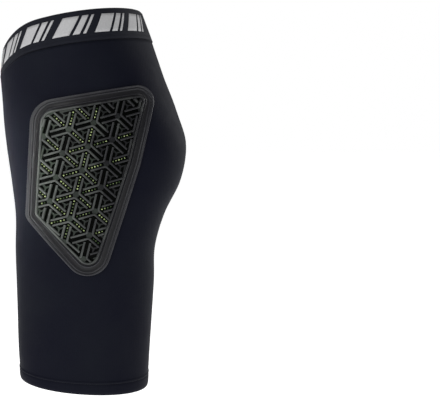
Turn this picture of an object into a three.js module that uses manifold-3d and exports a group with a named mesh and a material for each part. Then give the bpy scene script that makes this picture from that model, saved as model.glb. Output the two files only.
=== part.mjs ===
// Padded sports shorts, shaped as they are worn: two stretch fabric leg panels joined down the
// middle, an elastic waistband with its overlapped join, a padded insert inside the seat, and a
// moulded guard on each hip made of a flange, a pierced rib plate and a backing.
// Millimetres, +Z up. The wearer faces -Y, so +X is the wearer's left. The origin is the middle
// of the waist opening, halfway up the waistband.
import * as THREE from "three";
import { mergeVertices } from "three/addons/utils/BufferGeometryUtils.js";
import Module from "manifold-3d";

const wasm = await Module();
wasm.setup();

// Garment sizes
const sideLength = 449; // waist seam to leg hem, down the side
const hipHalfWidth = 181; // middle to the outside of the thigh
const bellyDepth = 111; // middle of the waist to the front
const seatDepth = 156; // middle of the waist to the fullest part of the seat
const legHalfGap = 41; // middle to the inside of the leg at the hem
const crotchDrop = 0.597; // share of the side length at which the legs part
const waistTilt = 0.17; // rise of the waist seam for each unit towards the back
const waistDip = 20.5; // how far the waist seam dips at the front
const hemTilt = -0.12; // the same at the leg hems, which are lower at the back

// Fabric, centre seam and waistband
const fabricThickness = 1.6;
const hemHeight = 17;
const hemFold = 0.7; // how far the folded hem stands proud
const bandHeight = 40;
const bandThickness = 2.4;
const bandProud = 0.5; // how far the band stands outside the fabric
const bandNarrowing = 0.955; // top edge of the band as a share of the waist seam
const bandBackNarrowing = 0.868; // the same behind the middle, where the band leans in more
const joinLeft = 18; // the overlap reaches this far to the wearer's left of the middle
const joinRight = 14;
const joinThickness = 1.1;
const joinRise = 1.6; // how far the overlap stands above the band's top edge
const seamHalfWidth = 1.5;
const seamThickness = 0.8;

// Seat insert, an oval behind the back fabric
const seatPadTop = 24; // below the waist seam's height at the side
const seatPadHeight = 190;
const seatPadHalfWidth = 65;
const seatPadThickness = 5;
const seatPadEdge = 1.6; // thickness at its sewn edge

// Hip guards
const guardWidth = 172; // front corner to back corner, before they are rounded
const guardHeight = 275; // top corner to bottom corner, before they are rounded
const guardForward = 63; // front corner ahead of the middle
const guardDrop = 46; // top corner below the waist seam
const flangeWidth = 15;
const flangeThickness = 1.8;
const beadWidth = 3;
const beadRise = 1;
const backingThickness = 4.2;
const plateThickness = 2.5;
const plateCrown = 2.6; // how far the backing and the plate bulge at the middle of the guard
const cornerRadiusLeast = 5;

// Rib plate pattern: three slots leave each knot of a triangular grid
const knotPitch = 30.6;
const knotTurn = 76; // degrees from level to the first slot
const knotBack = 15; // one knot of the grid, behind the middle
const knotDrop = 131.5; // the same knot, below the waist seam
const slotWidth = 4.3;
const slotStart = 3.6; // knot to the near end of its slot
const slotEnd = 23.8;
const slotMargin = 3; // material left between a slot and the plate's edge

// Clearances
const gap = 0.3; // between pieces that touch
const seatGap = 0.9; // between a faceted piece and the faceted fabric under it
const insertGap = 1.8; // between the seat insert and the faceted fabric around it

// Cells in the meshes
const sectionCells = 22;
const upperRows = 9;
const lowerRows = 4;
const bandRows = 1;
const joinCells = 4;
const ovalCells = 22;
const ovalRings = 3;
const cornerCells = 3;
const edgeCell = 26; // longest step along a straight edge of a guard
const layerCell = 22; // longest step of a guard's inner layers

const waistSeam = -bandHeight / 2;

// Sections from the waist seam down to the hem. drop is a share of the side length, width and
// the two apexes are shares of the hip's half width, front is a share of the belly depth, back
// and middle are shares of the seat depth. The apexes are where the front and the back of the
// section reach furthest, and squareness is the section's superellipse power.
const SECTIONS = [
  {
    drop: 0.0, width: 0.832, front: 0.93, back: 0.722,
    middle: 0, apexFront: 0.06, apexBack: 0.08, squareness: 1.85,
  },
  {
    drop: 0.1, width: 0.867, front: 0.906, back: 0.818,
    middle: 0.03, apexFront: 0.08, apexBack: 0.13, squareness: 2.1,
  },
  {
    drop: 0.2, width: 0.91, front: 0.883, back: 0.92,
    middle: 0.05, apexFront: 0.11, apexBack: 0.19, squareness: 2.3,
  },
  {
    drop: 0.3, width: 0.942, front: 0.844, back: 1.0,
    middle: 0.07, apexFront: 0.16, apexBack: 0.26, squareness: 2.35,
  },
  {
    drop: 0.4, width: 0.97, front: 0.791, back: 0.94,
    middle: 0.07, apexFront: 0.24, apexBack: 0.34, squareness: 2.3,
  },
  {
    drop: 0.5, width: 0.989, front: 0.743, back: 0.781,
    middle: 0.07, apexFront: 0.36, apexBack: 0.43, squareness: 2.2,
  },
  {
    drop: 0.6, width: 1.0, front: 0.738, back: 0.684,
    middle: 0.07, apexFront: 0.5, apexBack: 0.51, squareness: 2.15,
  },
  {
    drop: 0.7, width: 1.0, front: 0.729, back: 0.669,
    middle: 0.07, apexFront: 0.55, apexBack: 0.55, squareness: 2.1,
  },
  {
    drop: 0.8, width: 0.989, front: 0.724, back: 0.646,
    middle: 0.07, apexFront: 0.57, apexBack: 0.57, squareness: 2.1,
  },
  {
    drop: 0.9, width: 0.98, front: 0.719, back: 0.621,
    middle: 0.07, apexFront: 0.59, apexBack: 0.59, squareness: 2.1,
  },
  {
    drop: 1.0, width: 0.978, front: 0.702, back: 0.599,
    middle: 0.07, apexFront: 0.6, apexBack: 0.6, squareness: 2.1,
  },
];

// Corners of a hip guard before rounding, from the front top corner backwards. back and down are
// shares of the guard's width and height, and radius is a share of its width.
const GUARD_CORNERS = [
  { back: 0.056, down: 0.108, radius: 0.19 },
  { back: 1.0, down: 0.0, radius: 0.12 },
  { back: 0.838, down: 0.394, radius: 0.6 },
  { back: 0.505, down: 1.0, radius: 0.163 },
  { back: 0.0, down: 0.639, radius: 0.08 },
];

// The value of one column at a drop, on a smooth curve through the rows.
function columnAt(column, drop) {
  const last = SECTIONS.length - 1;
  let row = 0;
  while (row < last - 1 && drop > SECTIONS[row + 1].drop) row++;
  const slope = (k) => {
    const above = SECTIONS[Math.max(k - 1, 0)];
    const below = SECTIONS[Math.min(k + 1, last)];
    return (below[column] - above[column]) / (below.drop - above.drop);
  };
  const [from, to] = [SECTIONS[row], SECTIONS[row + 1]];
  const span = to.drop - from.drop;
  const t = (drop - from.drop) / span;
  return (
    from[column] * (1 + 2 * t) * (1 - t) ** 2 +
    to[column] * t * t * (3 - 2 * t) +
    span * (slope(row) * t * (1 - t) ** 2 - slope(row + 1) * t * t * (1 - t))
  );
}

// Where the section would end towards the middle. Below the crotch it is the inside of the leg.
// Above it the value is negative, so the two sides run into each other with a crease that fades.
const legPower = 0.65;
function innerEnd(drop) {
  const fadeReach = 7; // share of the hip's half width at the waist seam
  const fadePower = 1.4;
  if (drop < crotchDrop) return -hipHalfWidth * fadeReach * (1 - drop / crotchDrop) ** fadePower;
  return legHalfGap * ((drop - crotchDrop) / (1 - crotchDrop)) ** legPower;
}

// The sizes of the front (side -1) or back (side 1) of the section at a drop.
function sectionAt(drop, side) {
  const apex = hipHalfWidth * columnAt(side < 0 ? "apexFront" : "apexBack", drop);
  const middle = seatDepth * columnAt("middle", drop);
  const front = -bellyDepth * columnAt("front", drop);
  const back = seatDepth * columnAt("back", drop);
  return {
    apex,
    middle,
    depth: (side < 0 ? front : back) - middle,
    outer: hipHalfWidth * columnAt("width", drop) - apex,
    inner: apex - innerEnd(drop),
    power: columnAt("squareness", drop),
  };
}

// The other axis of a unit superellipse, in shares of its half axes.
const across = (share, power) => Math.max(0, 1 - Math.abs(share) ** power) ** (1 / power);

// The section's depth at a distance from the middle, and its width at a depth.
function depthAt(drop, side, x) {
  const s = sectionAt(drop, side);
  return s.middle + s.depth * across((x - s.apex) / (x < s.apex ? s.inner : s.outer), s.power);
}

function widthAt(drop, y) {
  const side = y < seatDepth * columnAt("middle", drop) ? -1 : 1;
  const s = sectionAt(drop, side);
  return s.apex + s.outer * across((y - s.middle) / s.depth, s.power);
}

// The waist seam and the hem are tilted, the seam dips at the front, and the sections between are
// level.
function heightAt(drop, y) {
  const waistReach = 0.5;
  const hemReach = 0.38;
  const dipStart = 0.4; // shares of the belly depth where the dip starts and where it is full
  const dipEnd = 0.93;
  const fade = Math.max(0, 1 - drop / waistReach) ** 2;
  const forward = Math.max(0, -y / bellyDepth - dipStart) / (dipEnd - dipStart);
  const waist = waistTilt * y - waistDip * forward ** 2.5;
  const hem = hemTilt * Math.max(0, 1 - (1 - drop) / hemReach) ** 2;
  return waistSeam - sideLength * drop + waist * fade + hem * y;
}

// The drop at which a height is reached, for the depth that each drop has.
function dropAt(z, depthOf) {
  let [low, high] = [0, 1];
  const halvings = 30;
  for (let i = 0; i < halvings; i++) {
    const drop = (low + high) / 2;
    if (heightAt(drop, depthOf(drop)) > z) low = drop;
    else high = drop;
  }
  return low;
}

// Points of the fabric's outside, seen from the wearer's left and from the back.
function sidePoint(y, z) {
  return new THREE.Vector3(widthAt(dropAt(z, () => y), y), y, z);
}

function backPoint(x, z) {
  const reach = Math.abs(x);
  const drop = dropAt(z, (d) => depthAt(d, 1, reach));
  return new THREE.Vector3(x, depthAt(drop, 1, reach), z);
}

// Half a section, evenly spaced from the front middle or the inseam, round the outside of the
// hip, to the back middle or the inseam.
function halfSection(drop, cells) {
  const stepsPerCell = 8;
  const fine = [];
  for (const side of [-1, 1]) {
    const s = sectionAt(drop, side);
    const cut = Math.min(1, s.apex / s.inner);
    const first = Math.atan2(across(cut, s.power), cut);
    const steps = (cells * stepsPerCell) / 2;
    const run = [];
    for (let i = 0; i <= steps; i++) {
      const angle = first + ((Math.PI - first) * i) / steps;
      const [c, d] = [Math.cos(angle), Math.sin(angle)];
      const radius = (Math.abs(c) ** s.power + Math.abs(d) ** s.power) ** (-1 / s.power);
      const x = s.apex - (c > 0 ? s.inner : s.outer) * c * radius;
      run.push(new THREE.Vector2(x, s.middle + s.depth * d * radius));
    }
    run[0].x = Math.max(0, innerEnd(drop));
    fine.push(...(side < 0 ? run : run.reverse().slice(1)));
  }
  const along = [0];
  for (let i = 1; i < fine.length; i++) {
    along.push(along[i - 1] + fine[i].distanceTo(fine[i - 1]));
  }
  const points = [];
  let k = 0;
  for (let i = 0; i <= cells; i++) {
    const want = (along[along.length - 1] * i) / cells;
    while (k < fine.length - 2 && along[k + 1] < want) k++;
    const at = fine[k].clone().lerp(fine[k + 1], (want - along[k]) / (along[k + 1] - along[k]));
    points.push(new THREE.Vector3(at.x, at.y, heightAt(drop, at.y)));
  }
  return points;
}

// A closed solid on a sheet of points. Rows and columns run so that the sheet faces outwards.
// The solid lies between its bottom and top heights above the sheet, which topOf and bottomOf
// give for each row and point. Points that coincide merge.
function solidOnSheet(rows, topOf, bottomOf) {
  const points = [];
  const known = new Map();
  const grid = rows.map((row, r) =>
    row.map((p) => {
      const key = p.toArray().map((v) => v.toFixed(3)).join(" ");
      if (!known.has(key)) {
        known.set(key, points.length);
        points.push({ at: p, normal: new THREE.Vector3(), top: topOf(r, p), bottom: bottomOf(r, p) });
      }
      return known.get(key);
    })
  );
  const faces = [];
  for (let r = 0; r + 1 < grid.length; r++) {
    for (let c = 0; c + 1 < grid[r].length; c++) {
      const [a, b, d, e] = [grid[r][c], grid[r][c + 1], grid[r + 1][c], grid[r + 1][c + 1]];
      faces.push([a, d, b], [b, d, e]);
    }
  }
  const sheet = faces.filter(([a, b, c]) => a !== b && b !== c && c !== a);
  const open = new Map();
  for (const face of sheet) {
    const [a, b, c] = face.map((i) => points[i].at);
    const normal = b.clone().sub(a).cross(c.clone().sub(a));
    for (let i = 0; i < 3; i++) {
      points[face[i]].normal.add(normal);
      const [from, to] = [face[i], face[(i + 1) % 3]];
      if (!open.delete(`${to} ${from}`)) open.set(`${from} ${to}`, [from, to]);
    }
  }
  const under = points.length;
  const place = (p, height) => p.at.clone().addScaledVector(p.normal.clone().normalize(), height);
  const upper = points.map((p) => place(p, p.top));
  const lower = points.map((p) => place(p, p.bottom));
  const index = [];
  for (const [a, b, c] of sheet) index.push(a, b, c, c + under, b + under, a + under);
  for (const [a, b] of open.values()) index.push(b, a, a + under, b, a + under, b + under);
  const geometry = new THREE.BufferGeometry().setFromPoints([...upper, ...lower]);
  geometry.setIndex(index);
  return geometry;
}

// The rows of a leg panel, crowded towards the crotch. The row just below the crotch is as wide
// as the centre seam, and the last rows are the folded hem.
function panelDrops() {
  const crowding = 1.25;
  const legs = 1 - crotchDrop;
  const seamDrop = crotchDrop + legs * (seamHalfWidth / legHalfGap) ** (1 / legPower);
  const hemDrop = 1 - hemHeight / sideLength;
  const drops = [];
  for (let i = 0; i < upperRows; i++) drops.push(crotchDrop * (1 - (1 - i / upperRows) ** crowding));
  drops.push(crotchDrop, seamDrop);
  for (let i = 1; i < lowerRows; i++) {
    drops.push(seamDrop + (hemDrop - seamDrop) * (i / lowerRows) ** crowding);
  }
  return { drops: [...drops, hemDrop, hemDrop + hemFold / sideLength, 1], hemDrop, seamDrop };
}

function legPanel() {
  const { drops, hemDrop } = panelDrops();
  const rows = drops.map((drop) => halfSection(drop, sectionCells));
  const sheet = solidOnSheet(
    rows,
    (r) => (drops[r] > hemDrop ? hemFold : 0),
    () => -fabricThickness
  );
  const position = sheet.getAttribute("position");
  for (let i = 0; i < position.count; i++) {
    position.setX(i, Math.max(0, position.getX(i)) + gap / 2);
  }
  return sheet;
}

// The flat seam that joins the panels, down the front, under the crotch and up the back.
function centreSeam() {
  const { drops, seamDrop } = panelDrops();
  const strip = (drop, side) => {
    const y = depthAt(drop, side, seamHalfWidth);
    return [-1, 1].map((end) => new THREE.Vector3(end * seamHalfWidth, y, heightAt(drop, y)));
  };
  const rise = drops.filter((drop) => drop <= crotchDrop);
  const front = rise.map((drop) => strip(drop, -1));
  const back = rise.map((drop) => strip(drop, 1)).reverse();
  const rows = [...front, strip(seamDrop, 1), ...back];
  return solidOnSheet(rows, () => seatGap + seamThickness, () => seatGap);
}

// A point of the waistband, which leans in towards its top. share runs up from the waist seam.
function bandPoint(p, share) {
  const lean = 1 + (bandNarrowing - 1) * share;
  const depthLean = p.y > 0 ? 1 + (bandBackNarrowing - 1) * share : lean;
  return new THREE.Vector3(p.x * lean, p.y * depthLean, p.z + seatGap + bandHeight * share);
}

function waistband() {
  const half = halfSection(0, sectionCells);
  const otherHalf = half.map((p) => new THREE.Vector3(-p.x, p.y, p.z)).reverse();
  const rows = [];
  for (let i = bandRows; i >= 0; i--) {
    rows.push([...half, ...otherHalf.slice(1)].map((p) => bandPoint(p, i / bandRows)));
  }
  return solidOnSheet(rows, () => bandProud, () => bandProud - bandThickness);
}

// The overlap of the band's two ends at the back, folded over its top edge.
function waistbandJoin() {
  const rows = [1 + joinRise / bandHeight, 0.5, 0].map((share) => {
    const row = [];
    for (let i = 0; i <= joinCells; i++) {
      const x = joinLeft - ((joinLeft + joinRight) * i) / joinCells;
      const y = depthAt(0, 1, Math.abs(x));
      row.push(bandPoint(new THREE.Vector3(x, y, heightAt(0, y)), share));
    }
    return row;
  });
  return solidOnSheet(rows, () => bandProud + gap + joinThickness, () => bandProud + gap);
}

function seatPad() {
  const rows = [];
  for (let ring = 0; ring <= ovalRings; ring++) {
    const row = [];
    for (let i = 0; i <= ovalCells; i++) {
      const angle = (2 * Math.PI * i) / ovalCells;
      const share = ring / ovalRings;
      const x = seatPadHalfWidth * share * Math.sin(angle);
      const fromTop = (seatPadHeight / 2) * (1 - share * Math.cos(angle));
      row.push(backPoint(x, waistSeam - seatPadTop - fromTop));
    }
    rows.push(row);
  }
  const outside = -fabricThickness - insertGap;
  const fullness = (ring) => Math.sqrt(1 - (ring / ovalRings) ** 2);
  const thickness = (ring) => seatPadEdge + (seatPadThickness - seatPadEdge) * fullness(ring);
  return solidOnSheet(rows, () => outside, (ring) => outside - thickness(ring));
}

// The guard's outline seen from the side, moved in by an inset, with its corners rounded. Its
// straight edges are divided where a cell is given.
function guardOutline(inset, cell = Infinity) {
  const corners = GUARD_CORNERS.map((corner) => {
    const back = corner.back * guardWidth - guardForward;
    const up = waistSeam - guardDrop - corner.down * guardHeight;
    const radius = Math.max(cornerRadiusLeast, corner.radius * guardWidth - inset);
    return { at: new THREE.Vector2(back, up), radius };
  });
  const count = corners.length;
  const inwards = (edge) => new THREE.Vector2(edge.y, -edge.x);
  const edges = corners.map((corner, i) => corners[(i + 1) % count].at.clone().sub(corner.at));
  const arcs = corners.map(({ at, radius }, i) => {
    const before = edges[(i + count - 1) % count].clone().normalize();
    const after = edges[i].clone().normalize();
    const turn = Math.acos(THREE.MathUtils.clamp(before.dot(after), -1, 1));
    const inward = inwards(before).add(inwards(after)).normalize();
    const centre = at.clone().addScaledVector(inward, (inset + radius) / Math.cos(turn / 2));
    const from = Math.atan2(-inwards(before).y, -inwards(before).x);
    const arc = [];
    for (let k = 0; k <= cornerCells; k++) {
      const angle = from - (turn * k) / cornerCells;
      const outward = new THREE.Vector2(Math.cos(angle), Math.sin(angle));
      arc.push(centre.clone().addScaledVector(outward, radius));
    }
    return arc;
  });
  const outline = [];
  arcs.forEach((arc, i) => {
    const next = arcs[(i + 1) % count][0];
    const end = arc[arc.length - 1];
    outline.push(...arc);
    const cells = Math.ceil(edges[i].length() / cell);
    for (let k = 1; k < cells; k++) outline.push(end.clone().lerp(next, k / cells));
  });
  return [...outline, outline[0].clone()];
}

// The guard's edge, sewn to the fabric: a raised bead at the rim, then a flat.
function guardFlange() {
  const rim = [
    { inset: 0, top: flangeThickness },
    { inset: beadWidth / 2, top: flangeThickness + beadRise },
    { inset: beadWidth, top: flangeThickness },
    { inset: flangeWidth, top: flangeThickness },
  ];
  const rows = rim.map((row) => guardOutline(row.inset, edgeCell).map((p) => sidePoint(p.x, p.y)));
  return solidOnSheet(rows, (r) => seatGap + rim[r].top, () => seatGap);
}

function toManifold(geometry) {
  const bare = geometry.clone();
  bare.deleteAttribute("normal");
  bare.deleteAttribute("uv");
  const merged = mergeVertices(bare);
  const vertProperties = merged.getAttribute("position").array;
  const triVerts = new Uint32Array(merged.getIndex().array);
  return new wasm.Manifold(new wasm.Mesh({ numProp: 3, vertProperties, triVerts }));
}

function toGeometry(solid) {
  const mesh = solid.getMesh();
  const geometry = new THREE.BufferGeometry();
  geometry.setAttribute("position", new THREE.BufferAttribute(mesh.vertProperties, 3));
  geometry.setIndex(new THREE.BufferAttribute(mesh.triVerts, 1));
  return geometry;
}

// A layer of the guard, inside its flange: a grid on the fabric, cut to the outline. Its bottom
// and top are heights above the fabric at the edge, and bulge by their crowns at the middle.
function guardLayer(bottom, top) {
  const outline = guardOutline(flangeWidth + gap);
  const [back, up] = [outline.map((p) => p.x), outline.map((p) => p.y)];
  const [front, rear] = [Math.min(...back) - layerCell / 2, Math.max(...back) + layerCell / 2];
  const [low, high] = [Math.min(...up) - layerCell / 2, Math.max(...up) + layerCell / 2];
  const columns = Math.ceil((rear - front) / layerCell);
  const lines = Math.ceil((high - low) / layerCell);
  const rows = [];
  for (let i = 0; i <= lines; i++) {
    const row = [];
    for (let k = 0; k <= columns; k++) {
      row.push(sidePoint(front + ((rear - front) * k) / columns, high + ((low - high) * i) / lines));
    }
    rows.push(row);
  }
  const heightOf = ({ height, crown }) => (r, p) => {
    const alongShare = (2 * p.y - front - rear) / (rear - front);
    const upShare = (2 * p.z - low - high) / (high - low);
    return height + crown * Math.max(0, 1 - alongShare ** 2 - upShare ** 2);
  };
  const layer = solidOnSheet(rows, heightOf(top), heightOf(bottom));
  const cutter = new THREE.ExtrudeGeometry(new THREE.Shape(outline.slice(0, -1)), {
    depth: 2 * hipHalfWidth,
    bevelEnabled: false,
  });
  const outwards = new THREE.Vector3(1, 0, 0);
  const backwards = new THREE.Vector3(0, 1, 0);
  const upwards = new THREE.Vector3(0, 0, 1);
  cutter.applyMatrix4(new THREE.Matrix4().makeBasis(backwards, upwards, outwards));
  return toManifold(layer).intersect(toManifold(cutter));
}

function guardBacking() {
  const bottom = { height: seatGap, crown: 0 };
  return toGeometry(guardLayer(bottom, { height: seatGap + backingThickness, crown: plateCrown }));
}

// The slots that leave every knot of the grid, as far as they fit inside the plate.
function plateSlots() {
  const edge = guardOutline(flangeWidth + gap + slotMargin + slotWidth / 2);
  const inside = (p) => {
    let odd = false;
    for (let i = 0; i + 1 < edge.length; i++) {
      const [a, b] = [edge[i], edge[i + 1]];
      const spans = a.y > p.y !== b.y > p.y;
      if (spans && p.x < a.x + ((b.x - a.x) * (p.y - a.y)) / (b.y - a.y)) odd = !odd;
    }
    return odd;
  };
  const turn = THREE.MathUtils.degToRad(knotTurn);
  const spokes = [0, 1, 2].map((k) => {
    const angle = turn - (k * 2 * Math.PI) / 3;
    return new THREE.Vector2(Math.cos(angle), Math.sin(angle));
  });
  const start = new THREE.Vector2(knotBack, waistSeam - knotDrop);
  const reach = Math.ceil((guardWidth + guardHeight) / knotPitch);
  const shortest = 2 * slotWidth;
  const slots = [];
  for (let i = -reach; i <= reach; i++) {
    for (let j = -reach; j <= reach; j++) {
      const knot = start.clone();
      knot.addScaledVector(spokes[0], i * knotPitch).addScaledVector(spokes[1], j * knotPitch);
      for (const along of spokes) {
        let [near, far] = [slotStart, slotEnd];
        const at = (distance) => knot.clone().addScaledVector(along, distance);
        while (near < far && !inside(at(near))) near++;
        while (far > near && !inside(at(far))) far--;
        const length = far - near;
        if (length > shortest) slots.push({ middle: at((near + far) / 2), length, along });
      }
    }
  }
  return slots;
}

// The rib plate, which lies on the backing and is cut through by its slots.
function guardPlate() {
  const seat = seatGap + backingThickness + gap;
  const top = { height: seat + plateThickness, crown: plateCrown };
  let plate = guardLayer({ height: seat, crown: plateCrown }, top);
  for (const slot of plateSlots()) {
    const cutter = new THREE.BoxGeometry(2 * hipHalfWidth, slot.length, slotWidth);
    cutter.rotateX(Math.atan2(slot.along.y, slot.along.x));
    cutter.translate(hipHalfWidth, slot.middle.x, slot.middle.y);
    plate = plate.subtract(toManifold(cutter));
  }
  return toGeometry(plate);
}

function mirrored(geometry) {
  const other = geometry.clone();
  other.scale(-1, 1, 1);
  const index = other.getIndex();
  for (let i = 0; i < index.count; i += 3) {
    const swap = index.getX(i);
    index.setX(i, index.getX(i + 1));
    index.setX(i + 1, swap);
  }
  return other;
}

const MATERIALS = {
  fabric: { color: 0x15171f, roughness: 0.78, metalness: 0 },
  elastic: { color: 0x13151b, roughness: 0.85, metalness: 0 },
  thread: { color: 0x1c1f27, roughness: 0.8, metalness: 0 },
  foam: { color: 0x1a1c22, roughness: 0.95, metalness: 0 },
  rubber: { color: 0x2a2c31, roughness: 0.5, metalness: 0 },
  ribs: { color: 0x25272b, roughness: 0.42, metalness: 0 },
  green: { color: 0x9ac43a, roughness: 0.7, metalness: 0 },
};

const shorts = new THREE.Group();
shorts.name = "hip_guard_shorts";

function addPiece(name, geometry, material) {
  geometry.computeVertexNormals();
  const mesh = new THREE.Mesh(geometry, new THREE.MeshStandardMaterial(MATERIALS[material]));
  mesh.name = name;
  shorts.add(mesh);
}

function addPair(name, geometry, material) {
  addPiece(`left_${name}`, geometry, material);
  addPiece(`right_${name}`, mirrored(geometry), material);
}

addPair("leg_panel", legPanel(), "fabric");
addPiece("centre_seam", centreSeam(), "thread");
addPiece("waistband", waistband(), "elastic");
addPiece("waistband_join", waistbandJoin(), "elastic");
addPiece("seat_pad", seatPad(), "foam");
addPair("guard_flange", guardFlange(), "rubber");
addPair("guard_backing", guardBacking(), "green");
addPair("guard_plate", guardPlate(), "ribs");

export default shorts;
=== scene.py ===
# Padded sports shorts with hip guards, as worn: fine fabric panels, waistband, seams, stitching,
# the padded insert behind the seat and the moulded guards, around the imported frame.
# Metres, +Z up. The wearer faces -Y, so +X is the wearer's left.
import math
from collections import namedtuple

import bpy
import numpy as np
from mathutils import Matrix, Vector
from mathutils.geometry import delaunay_2d_cdt


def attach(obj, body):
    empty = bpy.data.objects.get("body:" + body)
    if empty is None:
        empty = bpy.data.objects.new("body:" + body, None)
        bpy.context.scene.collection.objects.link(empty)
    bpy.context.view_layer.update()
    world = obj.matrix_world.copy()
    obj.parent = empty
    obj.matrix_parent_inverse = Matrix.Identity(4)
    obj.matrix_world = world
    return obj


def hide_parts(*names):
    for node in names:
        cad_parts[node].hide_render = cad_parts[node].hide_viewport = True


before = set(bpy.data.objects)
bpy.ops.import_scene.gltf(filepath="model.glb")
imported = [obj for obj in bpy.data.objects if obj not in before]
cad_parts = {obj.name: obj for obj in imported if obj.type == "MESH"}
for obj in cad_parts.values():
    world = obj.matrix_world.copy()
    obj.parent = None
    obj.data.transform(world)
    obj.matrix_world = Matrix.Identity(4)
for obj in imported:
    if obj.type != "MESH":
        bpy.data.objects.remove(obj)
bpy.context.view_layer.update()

# Garment sizes, as in the frame
SIDE_LENGTH = 0.449
HIP_HALF_WIDTH = 0.181
BELLY_DEPTH = 0.111
SEAT_DEPTH = 0.156
LEG_HALF_GAP = 0.041
CROTCH_DROP = 0.597
WAIST_TILT = 0.17
WAIST_DIP = 0.0205
HEM_TILT = -0.12
BAND_HEIGHT = 0.04
BAND_NARROWING = 0.955
BAND_BACK_NARROWING = 0.868
WAIST_SEAM = -BAND_HEIGHT / 2
FABRIC_THICKNESS = 0.0016
HEM_HEIGHT = 0.017
SEAT_PAD_TOP = 0.024
SEAT_PAD_HEIGHT = 0.19
SEAT_PAD_HALF_WIDTH = 0.065
SEAT_PAD_MIDDLE = WAIST_SEAM - SEAT_PAD_TOP - SEAT_PAD_HEIGHT / 2
GUARD_WIDTH = 0.172
GUARD_HEIGHT = 0.275
GUARD_FORWARD = 0.063
GUARD_DROP = 0.046
FLANGE_WIDTH = 0.015
KNOT_PITCH = 0.0306
KNOT_TURN = math.radians(76)
KNOT_BACK = 0.015
KNOT_DROP = 0.1315
SLOT_HALF_WIDTH = 0.00215
SLOT_START = 0.0036
SEAT_GAP = 0.0009  # between the fabric and the guard or the waistband
BACKING_TOP = 0.0051
PLATE_FOOT = 0.0054
PLATE_CROWN = 0.0026
JOIN_LEFT = 0.018
JOIN_RIGHT = 0.014
LEG_POWER = 0.65  # how the insides of the legs spread below the crotch
HEM_DROP = 1 - HEM_HEIGHT / SIDE_LENGTH
HEM_STITCH_DROP = 0.006  # from the hem's fold to its stitches
STITCH_STEPS = 6  # steps of a thread's path in one stitch
POINTS_PER_METRE = 1e6  # points closer than a micrometre count as one

# Body sections from waist to hem. Front is a share of the belly's depth, back and middle are
# shares of the seat's, and width and both apexes are shares of the half width at the hips.
Section = namedtuple("Section", "drop width front back middle apex_front apex_back squareness")
SECTIONS = [
    Section(0.0, 0.832, 0.93, 0.722, 0.0, 0.06, 0.08, 1.85),
    Section(0.1, 0.867, 0.906, 0.818, 0.03, 0.08, 0.13, 2.1),
    Section(0.2, 0.91, 0.883, 0.92, 0.05, 0.11, 0.19, 2.3),
    Section(0.3, 0.942, 0.844, 1.0, 0.07, 0.16, 0.26, 2.35),
    Section(0.4, 0.97, 0.791, 0.94, 0.07, 0.24, 0.34, 2.3),
    Section(0.5, 0.989, 0.743, 0.781, 0.07, 0.36, 0.43, 2.2),
    Section(0.6, 1.0, 0.738, 0.684, 0.07, 0.5, 0.51, 2.15),
    Section(0.7, 1.0, 0.729, 0.669, 0.07, 0.55, 0.55, 2.1),
    Section(0.8, 0.989, 0.724, 0.646, 0.07, 0.57, 0.57, 2.1),
    Section(0.9, 0.98, 0.719, 0.621, 0.07, 0.59, 0.59, 2.1),
    Section(1.0, 0.978, 0.702, 0.599, 0.07, 0.6, 0.6, 2.1),
]

# A guard's corners seen from the side, as shares of its width, its height and its width
Corner = namedtuple("Corner", "back down radius")
GUARD_CORNERS = [
    Corner(0.056, 0.108, 0.19),
    Corner(1.0, 0.0, 0.12),
    Corner(0.838, 0.394, 0.6),
    Corner(0.505, 1.0, 0.163),
    Corner(0.0, 0.639, 0.08),
]

KNOTS = np.array([section.drop for section in SECTIONS])


def unit(vectors):
    return vectors / np.linalg.norm(vectors, axis=-1)[..., None]


def lengths_along(points):
    """The length of a path up to each of its points."""
    return np.concatenate([[0], np.cumsum(np.linalg.norm(np.diff(points, axis=0), axis=1))])


def points_at(want, along, points):
    """Points at given lengths along a path."""
    return np.stack([np.interp(want, along, column) for column in points.T], axis=-1)


def even_points(path, count):
    """A path in even steps."""
    along = lengths_along(path)
    return points_at(np.linspace(0, along[-1], count), along, path)


def column_at(name, drop):
    """One column of the sections at any drops, on a smooth curve through the rows."""
    values = np.array([getattr(section, name) for section in SECTIONS])
    above = np.maximum(np.arange(len(KNOTS)) - 1, 0)
    below = np.minimum(np.arange(len(KNOTS)) + 1, len(KNOTS) - 1)
    slopes = (values[below] - values[above]) / (KNOTS[below] - KNOTS[above])
    row = np.clip(np.searchsorted(KNOTS, drop, side="left") - 1, 0, len(KNOTS) - 2)
    span = KNOTS[row + 1] - KNOTS[row]
    t = (drop - KNOTS[row]) / span
    return (
        values[row] * (1 + 2 * t) * (1 - t) ** 2
        + values[row + 1] * t * t * (3 - 2 * t)
        + span * (slopes[row] * t * (1 - t) ** 2 - slopes[row + 1] * t * t * (1 - t))
    )


def inner_end(drop):
    """Where a section would end towards the middle: the inside of the leg, below the crotch."""
    fade_reach, fade_power = 7, 1.4
    above = np.clip(1 - drop / CROTCH_DROP, 0, 1)
    below = np.clip((drop - CROTCH_DROP) / (1 - CROTCH_DROP), 0, 1)
    return LEG_HALF_GAP * below**LEG_POWER - HIP_HALF_WIDTH * fade_reach * above**fade_power


def half_axes(drop, side):
    """Sizes of the front (side below 0) or back of the sections at the given drops."""
    front = side < 0
    apex = HIP_HALF_WIDTH * np.where(front, column_at("apex_front", drop), column_at("apex_back", drop))
    middle = SEAT_DEPTH * column_at("middle", drop)
    belly, seat = BELLY_DEPTH * column_at("front", drop), SEAT_DEPTH * column_at("back", drop)
    reach = np.where(front, -belly, seat)
    outer = HIP_HALF_WIDTH * column_at("width", drop) - apex
    return apex, middle, reach - middle, outer, apex - inner_end(drop), column_at("squareness", drop)


def across(share, power):
    """The other axis of a unit superellipse."""
    return np.maximum(0, 1 - np.abs(share) ** power) ** (1 / power)


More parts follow.
